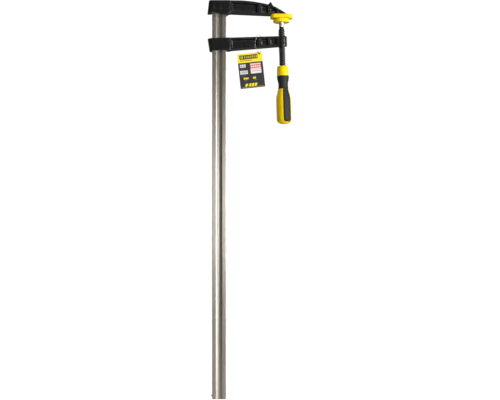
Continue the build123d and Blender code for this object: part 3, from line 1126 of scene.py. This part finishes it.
def rounded_outline(width, height, corner, steps=6):
    """Points round a rounded rectangle whose top left corner is at the origin, y downwards."""
    points = []
    for cx, cy, start in (
        (width - corner, corner, -90), (width - corner, height - corner, 0),
        (corner, height - corner, 90), (corner, corner, 180),
    ):
        for i in range(steps + 1):
            angle = math.radians(start + 90 * i / steps)
            points.append((cx + corner * math.cos(angle), cy + corner * math.sin(angle)))
    return points


def make_knot_shade():
    """A dark knot shape that fills the card's hole and tails off over its top edge; its dark colour is
    painted shade for the shadow in the hole.
    """
    line = []
    for before, after in zip(KNOT_LINE, KNOT_LINE[1:]):
        line += [tuple(lerp(a, b, i / KNOT_STEPS) for a, b in zip(before, after)) for i in range(KNOT_STEPS)]
    line.append(KNOT_LINE[-1])
    across = Vector((KNOT_LINE[-1][1] - KNOT_LINE[0][1], KNOT_LINE[0][0] - KNOT_LINE[-1][0])).normalized()
    vertices, faces = [], []
    for index, (x, y, radius) in enumerate(line):
        radius *= 1 + 0.10 * math.sin(index * 2.1)
        for i in range(KNOT_SIDES):
            angle = 2 * math.pi * i / KNOT_SIDES
            side = radius * math.cos(angle)
            depth = TAG_THICK / 2 + KNOT_LIFT + radius * 0.8 * math.sin(angle)
            vertices.append(on_card(x + across.x * side, y + across.y * side, depth))
    for ring in range(len(line) - 1):
        for i in range(KNOT_SIDES):
            j = (i + 1) % KNOT_SIDES
            a, b = ring * KNOT_SIDES, (ring + 1) * KNOT_SIDES
            faces.append((a + i, a + j, b + j, b + i))
    last = (len(line) - 1) * KNOT_SIDES
    faces += [tuple(range(KNOT_SIDES)), tuple(range(last, last + KNOT_SIDES))]
    knot = mesh_piece("tag_knot_shade", vertices, faces, [KNOT_SHADE])
    tidy_mesh(knot)
    settle(knot, "tag", "clear_string")


def ring_edges(bm, loop):
    """Edges round a closed list of points."""
    return [bm.edges.new((loop[i], loop[(i + 1) % len(loop)])) for i in range(len(loop))]


def card_shell(bm):
    """The card as a closed sheet with its punched hole, cut across where the printed header ends."""
    circle = []
    for i in range(TAG_HOLE_SIDES):
        angle = 2 * math.pi * i / TAG_HOLE_SIDES
        x = TAG_HOLE[0] + TAG_HOLE_RADIUS * math.cos(angle)
        circle.append((x, TAG_HOLE[1] + TAG_HOLE_RADIUS * math.sin(angle)))
    outlines = (rounded_outline(TAG_WIDTH, TAG_HEIGHT, TAG_CORNER), circle)
    sides = []
    for side in (1, -1):
        loops = [[bm.verts.new(on_card(x, y, side * CARD_HALF)) for x, y in outline] for outline in outlines]
        edges = [edge for loop in loops for edge in ring_edges(bm, loop)]
        bmesh.ops.triangle_fill(bm, use_beauty=True, use_dissolve=False, edges=edges)
        sides.append(loops)
    for front, back in zip(*sides):
        for i in range(len(front)):
            j = (i + 1) % len(front)
            bm.faces.new((front[i], front[j], back[j], back[i]))
    bmesh.ops.recalc_face_normals(bm, faces=bm.faces)
    cut_point, cut_normal = on_card(0, TAG_HEADER * TAG_HEIGHT, 0), CARD_PLACE.to_3x3() @ Vector((0, 0, 1))
    everything = bm.verts[:] + bm.edges[:] + bm.faces[:]
    bmesh.ops.bisect_plane(bm, geom=everything, plane_co=cut_point, plane_no=cut_normal)


def fill(face, ink, colour):
    """Inks a whole face in one colour."""
    for loop in face.loops:
        loop[ink] = (*colour, 1)


def colour_shell(bm, ink):
    """The cut edges are bare card, the header is yellow and the rest is black."""
    to_card = CARD_PLACE.inverted()
    for face in bm.faces:
        local = to_card @ face.calc_center_median()
        if abs((to_card.to_3x3() @ face.normal).y) < 0.5:
            fill(face, ink, CARD_EDGE)
        elif TAG_HOLE[1] - local.z / MM < TAG_HEADER * TAG_HEIGHT:
            fill(face, ink, YELLOW_INK)
        else:
            fill(face, ink, BLACK_INK)


def print_blocks(bm, ink, blocks, side):
    """Lays blocks of ink on the card's front (side 1) or back (side -1), each a hair above the last."""
    to_card = CARD_PLACE.inverted().to_3x3()
    for order, (colour, corners) in enumerate(blocks):
        lift = side * (CARD_HALF + INK_LIFT * (0.3 + 0.7 * order / INK_LAYERS))
        block = [bm.verts.new(on_card(u * TAG_WIDTH, v * TAG_HEIGHT, lift)) for u, v in corners]
        face = bm.faces.new(block)
        face.normal_update()
        if (to_card @ face.normal).y * side > 0:
            face.normal_flip()
        fill(face, ink, colour)


def make_tag():
    """The printed card and the dark knot in its hole, whose colour is painted shade."""
    bm = bmesh.new()
    ink = bm.loops.layers.float_color.new("ink")
    card_shell(bm)
    colour_shell(bm, ink)
    print_blocks(bm, ink, ink_blocks(), 1)
    print_blocks(bm, ink, back_blocks(), -1)
    mesh = bpy.data.meshes.new("card_tag")
    bm.to_mesh(mesh)
    bm.free()
    card = new_object("card_tag", mesh, [CARD])
    settle(card, "tag", "tag_card", "hang_tag")
    make_knot_shade()


make_tag()
